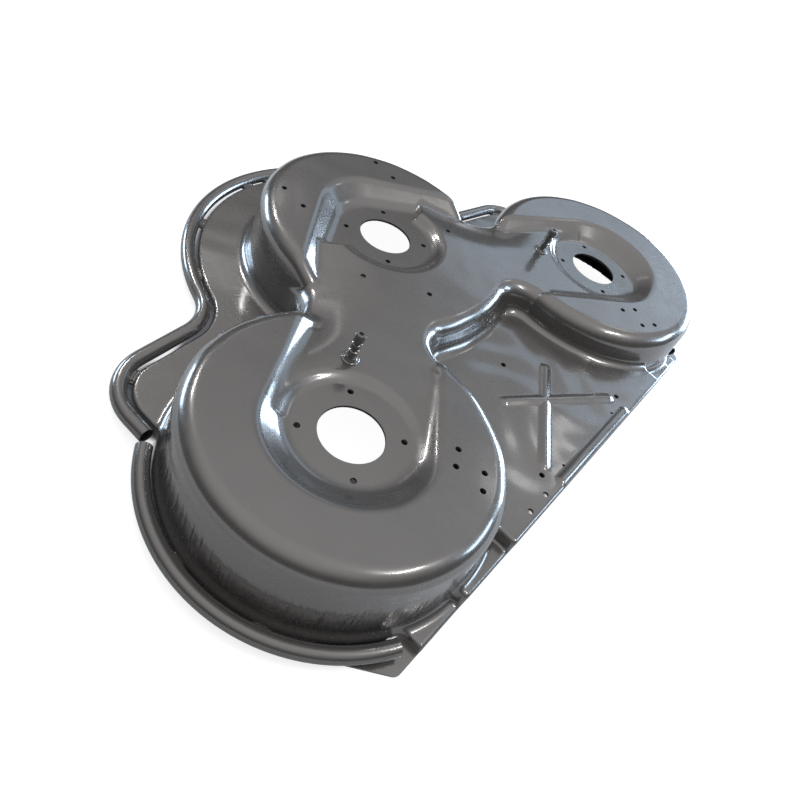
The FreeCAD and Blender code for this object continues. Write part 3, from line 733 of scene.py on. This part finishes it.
def wrinkle_height(nodes, place):
    """Fine upright draw wrinkles low on the outer wall of the left chamber."""
    split = nodes.add("ShaderNodeSeparateXYZ")
    nodes.link(place, split.inputs[0])
    dx = nodes.math("ADD", split.outputs["X"], SIDE_X * MM)
    angle = nodes.math("ARCTAN2", split.outputs["Y"], nodes.math("MULTIPLY", dx, -1.0))
    turned = nodes.add("ShaderNodeCombineXYZ")
    nodes.link(nodes.math("MULTIPLY", angle, 30.0), turned.inputs["X"])
    nodes.link(nodes.math("MULTIPLY", split.outputs["Z"], 8.0), turned.inputs["Y"])
    grain = nodes.noise(turned.outputs[0], 1.3, 1.0, 0.4)
    side = nodes.ramp(nodes.math("ABSOLUTE", nodes.math("ADD", angle, 0.3)), 1.35, 0.95)
    low = nodes.ramp(split.outputs["Z"], WRINKLE_LOW * MM, (WRINKLE_LOW + 14.0) * MM)
    high = nodes.ramp(split.outputs["Z"], WRINKLE_HIGH * MM, (WRINKLE_HIGH - 34.0) * MM)
    wall = nodes.ramp(plan_length(nodes, dx, split.outputs["Y"]), *WRINKLE_WALL)
    mask = nodes.math("MULTIPLY", nodes.math("MULTIPLY", side, wall), nodes.math("MULTIPLY", low, high))
    return nodes.math("MULTIPLY", grain, mask)


def deck_paint(name, wrinkled):
    """Gloss warm grey paint: faint flow texture, slight mottling and a clear coat."""
    material = bpy.data.materials.new(name)
    material.use_nodes = True
    nodes = Nodes(material.node_tree)
    shader = material.node_tree.nodes["Principled BSDF"]
    place = nodes.add("ShaderNodeTexCoord").outputs["Object"]
    mottle = nodes.noise(place, 9.0, 4.0, 0.55)
    mix = nodes.add("ShaderNodeMix", data_type="RGBA")
    mix.inputs[6].default_value = PAINT_DARK
    mix.inputs[7].default_value = PAINT_LIGHT
    nodes.link(mottle, mix.inputs[0])
    nodes.link(mix.outputs[2], shader.inputs["Base Color"])
    smear = nodes.noise(place, 34.0, 3.0, 0.6)
    nodes.link(nodes.ramp(smear, 0.3, 0.75, *PAINT_ROUGHNESS), shader.inputs["Roughness"])
    shader.inputs["Metallic"].default_value = PAINT_METALLIC
    shader.inputs["Coat Weight"].default_value = 1.0
    shader.inputs["Coat IOR"].default_value = COAT_IOR
    nodes.link(nodes.ramp(smear, 0.3, 0.8, *COAT_ROUGHNESS), shader.inputs["Coat Roughness"])
    peel = nodes.noise(place, 330.0, 2.0, 0.5)
    bump = nodes.add("ShaderNodeBump")
    bump.inputs["Strength"].default_value = 1.0
    bump.inputs["Distance"].default_value = PEEL_DEPTH
    nodes.link(peel, bump.inputs["Height"])
    last = bump
    if wrinkled:
        fold = nodes.add("ShaderNodeBump")
        fold.inputs["Strength"].default_value = 1.0
        fold.inputs["Distance"].default_value = WRINKLE_DEPTH
        nodes.link(wrinkle_height(nodes, place), fold.inputs["Height"])
        nodes.link(bump.outputs["Normal"], fold.inputs["Normal"])
        last = fold
    nodes.link(last.outputs["Normal"], shader.inputs["Normal"])
    nodes.link(last.outputs["Normal"], shader.inputs["Coat Normal"])
    return material


# Weld beads at the tabs and posts: directions in degrees, lengths in millimetres
TAB_TOP = FLANGE - 6.0
LEAD_TABS = (95.0, 126.0, 152.0)
SIDE_TABS = (173.0, 204.0)
NOSE_TAB = 120.0
TAB_HALF = 15.0
RAIL_GAP = 6.15
POST = (338.0, 108.0)
POST_BEAD_RAD = 13.2
POST_BEAD_THICK = 2.6
LIP_BEAD_THICK = 2.2
RAIL_BEAD_THICK = 2.5
BEAD_SIDES = 14
BEAD_WIDE = 1.15
BEAD_HIGH = 0.8
BEAD_RIPPLE = 0.16


def bead(bm, path, rad, rng, closed=False):
    """Rippled weld bead along a path of points, closed at its ends."""
    count = len(path)
    rings = []
    for k, point in enumerate(path):
        before = path[k - 1] if k > 0 or closed else path[k]
        after = path[(k + 1) % count] if k < count - 1 or closed else path[k]
        ahead = (after - before).normalized()
        side = ahead.cross(Vector((0.0, 0.0, 1.0))).normalized()
        up = side.cross(ahead)
        ripple = 1.0 + BEAD_RIPPLE * abs(math.sin(k * math.pi / 5.0)) + rng.uniform(-0.03, 0.03)
        swell = rad * ripple
        if not closed:
            swell *= math.sqrt(max(1.0 - (2.0 * k / (count - 1) - 1.0) ** 8, 0.02))
        ring = []
        for n in range(BEAD_SIDES):
            a = 2.0 * math.pi * n / BEAD_SIDES
            turned = side * math.cos(a) * BEAD_WIDE + up * math.sin(a) * BEAD_HIGH
            ring.append(bm.verts.new(point + turned * swell))
        rings.append(ring)
    for k in range(count if closed else count - 1):
        first = rings[k]
        second = rings[(k + 1) % count]
        for n in range(BEAD_SIDES):
            m = (n + 1) % BEAD_SIDES
            bm.faces.new((first[n], first[m], second[m], second[n]))
    if not closed:
        bm.faces.new(rings[0][::-1])
        bm.faces.new(rings[-1])


def arc_path(centre, rad, deg, half, z, steps=26):
    """Points along a level arc that reaches half a length to each side of a direction."""
    spread = math.degrees(half / rad)
    points = []
    for k in range(steps + 1):
        px, py = polar(centre, rad, deg - spread + 2.0 * spread * k / steps)
        points.append(Vector((px, py, z)))
    return points


def weld_piece(name, material, build):
    """One piece that holds all the beads which a function builds."""
    bm = bmesh.new()
    build(bm)
    bmesh.ops.recalc_face_normals(bm, faces=bm.faces)
    obj = object_from(name, bm)
    mesh = obj.data
    mesh.transform(Matrix.Scale(MM, 4))
    mesh.polygons.foreach_set("use_smooth", [True] * len(mesh.polygons))
    mesh.materials.append(material)
    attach(obj, "root")


def welds(material):
    """Beads between the folded lip, the tabs and the tubes, and round the foot of each post."""
    rng = random.Random(7)
    for side, word in ((-1.0, "left"), (1.0, "right")):
        def aim(deg, side=side):
            return deg if side < 0.0 else 180.0 - deg

        tabs = [(LEAD, LEAD_FLANGE_RAD, aim(deg)) for deg in LEAD_TABS]
        tabs += [((side * SIDE_X, 0.0), SKIRT_RAD, aim(deg)) for deg in SIDE_TABS]
        tabs.append(((side * NOSE_X, NOSE_Y), NOSE_RAD, aim(NOSE_TAB)))

        def tab_beads(bm, tabs=tabs):
            for centre, rad, deg in tabs:
                jog = rng.uniform(-2.0, 2.0)
                half = TAB_HALF - 1.5 - rng.uniform(0.0, 2.5)
                at_lip = arc_path(centre, rad + 0.8, deg + jog * 0.1, half, TAB_TOP + 0.4)
                bead(bm, at_lip, LIP_BEAD_THICK, rng)
                at_rail = arc_path(centre, rad + RAIL_GAP - 0.4, deg - jog * 0.1, half, TAB_TOP + 1.0)
                bead(bm, at_rail, RAIL_BEAD_THICK, rng)

        def post_bead(bm, side=side):
            lean = math.tan(math.radians(PLATEAU_TILT))
            points = []
            for k in range(60):
                px, py = polar((side * POST[0], POST[1]), POST_BEAD_RAD, 6.0 * k)
                points.append(Vector((px, py, PLATEAU_RISE + py * lean + 0.6)))
            bead(bm, points, POST_BEAD_THICK, rng, closed=True)

        weld_piece("tab_welds_" + word, material, tab_beads)
        weld_piece("post_weld_" + word, material, post_bead)


LAMP_AIM = (0.0, 0.1, 0.0)
BLUE = (0.62, 0.8, 1.0)
WHITE = (1.0, 1.0, 1.0)

# Name, place, width and height, power and colour of each lamp
LAMPS = (
    ("side_window", (3.8, -0.9, 0.5), (2.4, 1.0), 125.0, BLUE),
    ("far_window", (3.5, 0.55, 1.9), (2.0, 0.9), 5.0, BLUE),
    ("rear_window", (2.9, -2.9, 1.9), (1.6, 0.8), 40.0, BLUE),
    ("front_window", (-0.4, 4.4, 0.7), (1.6, 0.9), 52.0, BLUE),
    ("front_strip", (0.5, 2.9, 2.3), (0.6, 0.12), 13.0, WHITE),
    ("valley_strip", (1.6, 2.3, 2.0), (1.0, 0.14), 0.5, WHITE),
    ("rear_strip", (0.5, -1.6, 2.7), (0.8, 0.1), 14.0, WHITE),
    ("plate_lamp", (2.5, -0.15, 2.2), (0.4, 0.25), 0.8, WHITE),
)


def soft_lamp(name, place, size, power, colour):
    """Rectangular lamp that faces the deck."""
    data = bpy.data.lights.new(name, "AREA")
    data.shape = "RECTANGLE"
    data.size = size[0]
    data.size_y = size[1]
    data.energy = power
    data.color = colour
    lamp = add_object(name, data)
    lamp.location = place
    lamp.rotation_mode = "QUATERNION"
    lamp.rotation_quaternion = (Vector(LAMP_AIM) - Vector(place)).to_track_quat("-Z", "Y")


# Camera of the photograph: its place in metres and the three directions of its picture
CAMERA_PLACE = (-1.0538, -0.2618, 0.7629)
CAMERA_RIGHT = (0.61136, -0.71447, 0.34025)
CAMERA_DOWN = (-0.41810, -0.65668, -0.62767)
CAMERA_AHEAD = (0.67189, 0.24147, -0.70019)
CAMERA_LENS = 29.755


def set_camera():
    data = bpy.data.cameras.new("camera")
    data.lens = CAMERA_LENS
    data.sensor_width = 36.0
    data.clip_start = 0.01
    data.clip_end = 100.0
    camera = add_object("camera", data)
    turn = Matrix((CAMERA_RIGHT, [-v for v in CAMERA_DOWN], [-v for v in CAMERA_AHEAD])).transposed()
    camera.matrix_world = Matrix.Translation(CAMERA_PLACE) @ turn.to_4x4()
    bpy.context.scene.camera = camera


# Floor, in metres: how bright it shows, its painted light spots behind the bores, and the outline of its
# painted shade under the deck
FLOOR_HALF = 14.0
FLOOR_COLOUR = (0.6, 0.605, 0.615, 1.0)
FLOOR_GLOW = 0.74
MIRRORED_GLOW = 0.2
PAINTED_SPOT_RAD = 0.076
PAINTED_SPOT_FADE = 0.006
PAINTED_SPOT_GLOW = 1.3
SHADE_FADE = 0.014
SHADE_RAD = 0.29
LEAD_SHADE_RAD = 0.38
NOSE_PLACE = (0.536, 0.267)
NOSE_SHADE_RAD = 0.1
SHADE_HALF = 0.58
SHADE_SLANT = (0.429, 0.903, 0.539)
SHADE_REAR = -0.1
PLATE_SHADE_HALF = 0.42
PLATE_SHADE_FRONT = 0.3
PLATE_SHADE_REAR = -0.28


def plan_distance(nodes, x, y, centre):
    """Plan distance from a centre."""
    dx = nodes.math("SUBTRACT", x, centre[0])
    dy = nodes.math("SUBTRACT", y, centre[1])
    return plan_length(nodes, dx, dy)


def painted_shade_cover(nodes, x, y):
    """Distance from the painted shade on the floor under the deck, negative inside it."""
    half = nodes.math("ABSOLUTE", x)
    part = nodes.math("MULTIPLY", half, SHADE_SLANT[0])
    slant = nodes.math("ADD", part, nodes.math("MULTIPLY", y, SHADE_SLANT[1]))
    side = nodes.math("SUBTRACT", half, SHADE_HALF)
    cover = nodes.math("MAXIMUM", side, nodes.math("SUBTRACT", slant, SHADE_SLANT[2]))
    cover = nodes.math("MAXIMUM", cover, nodes.math("SUBTRACT", SHADE_REAR, y))
    across = nodes.math("SUBTRACT", half, PLATE_SHADE_HALF)
    middle = nodes.math("MAXIMUM", across, nodes.math("SUBTRACT", y, PLATE_SHADE_FRONT))
    cover = nodes.math("MINIMUM", cover, middle)
    for cx, cy in CENTRES.values():
        rad = LEAD_SHADE_RAD if cy else SHADE_RAD
        disc = nodes.math("SUBTRACT", plan_distance(nodes, x, y, (cx * MM, cy * MM)), rad)
        cover = nodes.math("MINIMUM", cover, disc)
    nose = nodes.math("SUBTRACT", plan_distance(nodes, half, y, NOSE_PLACE), NOSE_SHADE_RAD)
    cover = nodes.math("MINIMUM", cover, nose)
    return nodes.math("MAXIMUM", cover, nodes.math("SUBTRACT", PLATE_SHADE_REAR, y))


def painted_light_spot_place(cx, cy):
    """Place on the floor that the camera sees through the middle of a bore, the centre of a painted light
    spot.
    """
    drop = RIM * MM - CAMERA_PLACE[2]
    share = drop / (-SHEET * MM / 2.0 - CAMERA_PLACE[2])
    return (CAMERA_PLACE[0] + (cx * MM - CAMERA_PLACE[0]) * share,
            CAMERA_PLACE[1] + (cy * MM - CAMERA_PLACE[1]) * share)


def floor_material():
    """Pale floor that shows as a white ground, with painted shade under the deck and painted light spots
    behind the three bores.
    """
    material = bpy.data.materials.new("floor_pale")
    material.use_nodes = True
    nodes = Nodes(material.node_tree)
    shader = material.node_tree.nodes["Principled BSDF"]
    shader.inputs["Base Color"].default_value = FLOOR_COLOUR
    shader.inputs["Roughness"].default_value = 0.9
    split = nodes.add("ShaderNodeSeparateXYZ")
    nodes.link(nodes.add("ShaderNodeTexCoord").outputs["Object"], split.inputs[0])
    x = split.outputs["X"]
    y = split.outputs["Y"]
    cover = painted_shade_cover(nodes, x, y)
    # Painted shade: the floor's white glow for the camera is taken away under the deck, fading out at its
    # edge
    glow = nodes.ramp(cover, -SHADE_FADE, 0.0)
    # Painted light: white glowing spots on the floor behind the three bores, inside the painted shade under
    # the deck
    for cx, cy in CENTRES.values():
        away = plan_distance(nodes, x, y, painted_light_spot_place(cx, cy))
        glow = nodes.math("MAXIMUM", glow, nodes.ramp(away, PAINTED_SPOT_RAD + PAINTED_SPOT_FADE, PAINTED_SPOT_RAD, 0.0, PAINTED_SPOT_GLOW))
    path = nodes.add("ShaderNodeLightPath").outputs
    direct = nodes.math("MULTIPLY", nodes.math("MULTIPLY", path["Is Camera Ray"], glow), FLOOR_GLOW)
    # Painted shade in reflections: the floor's glow for glossy and transmission rays fades out within 0.7 m
    # of the deck
    far = nodes.ramp(cover, 0.0, 0.7)
    other = nodes.math("MAXIMUM", path["Is Glossy Ray"], path["Is Transmission Ray"])
    mirrored = nodes.math("MULTIPLY", nodes.math("MULTIPLY", other, far), MIRRORED_GLOW)
    shader.inputs["Emission Color"].default_value = (1.0, 1.0, 1.0, 1.0)
    nodes.link(nodes.math("ADD", direct, mirrored), shader.inputs["Emission Strength"])
    return material


WORLD_COLOUR = (1.0, 0.985, 0.975, 1.0)
WORLD_STRENGTH = (0.1, 0.85)
WORLD_RISE = (0.3, 1.0)


def set_world():
    """Soft light from above that fades towards the horizon, and a white backdrop for the camera alone."""
    world = bpy.data.worlds.new("studio")
    bpy.context.scene.world = world
    world.use_nodes = True
    nodes = Nodes(world.node_tree)
    ground = world.node_tree.nodes["Background"]
    ground.inputs["Color"].default_value = WORLD_COLOUR
    split = nodes.add("ShaderNodeSeparateXYZ")
    nodes.link(nodes.add("ShaderNodeTexCoord").outputs["Generated"], split.inputs[0])
    nodes.link(nodes.ramp(split.outputs["Z"], *WORLD_RISE, *WORLD_STRENGTH), ground.inputs["Strength"])
    backdrop = nodes.add("ShaderNodeBackground")
    backdrop.inputs["Color"].default_value = (1.0, 1.0, 1.0, 1.0)
    backdrop.inputs["Strength"].default_value = 1.0
    blend = nodes.add("ShaderNodeMixShader")
    nodes.link(nodes.add("ShaderNodeLightPath").outputs["Is Camera Ray"], blend.inputs[0])
    nodes.link(ground.outputs[0], blend.inputs[1])
    nodes.link(backdrop.outputs[0], blend.inputs[2])
    nodes.link(blend.outputs[0], world.node_tree.nodes["World Output"].inputs["Surface"])


def set_stage():
    """Floor, world and lamps."""
    half = FLOOR_HALF
    level = RIM * MM
    corners = [(-half, -half, level), (half, -half, level), (half, half, level), (-half, half, level)]
    mesh = bpy.data.meshes.new("floor")
    mesh.from_pydata(corners, [], [(0, 1, 2, 3)])
    floor = add_object("floor", mesh)
    mesh.materials.append(floor_material())
    set_world()
    for lamp in LAMPS:
        soft_lamp(*lamp)


def main():
    paint = deck_paint("deck_paint_gloss", False)
    deck_shell(deck_paint("deck_paint_drawn", True))
    welds(paint)
    for name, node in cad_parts.items():
        if name != "deck_shell":
            node.data.materials.clear()
            node.data.materials.append(paint)
    set_stage()
    set_camera()
    bpy.context.scene.view_settings.view_transform = "Standard"


main()
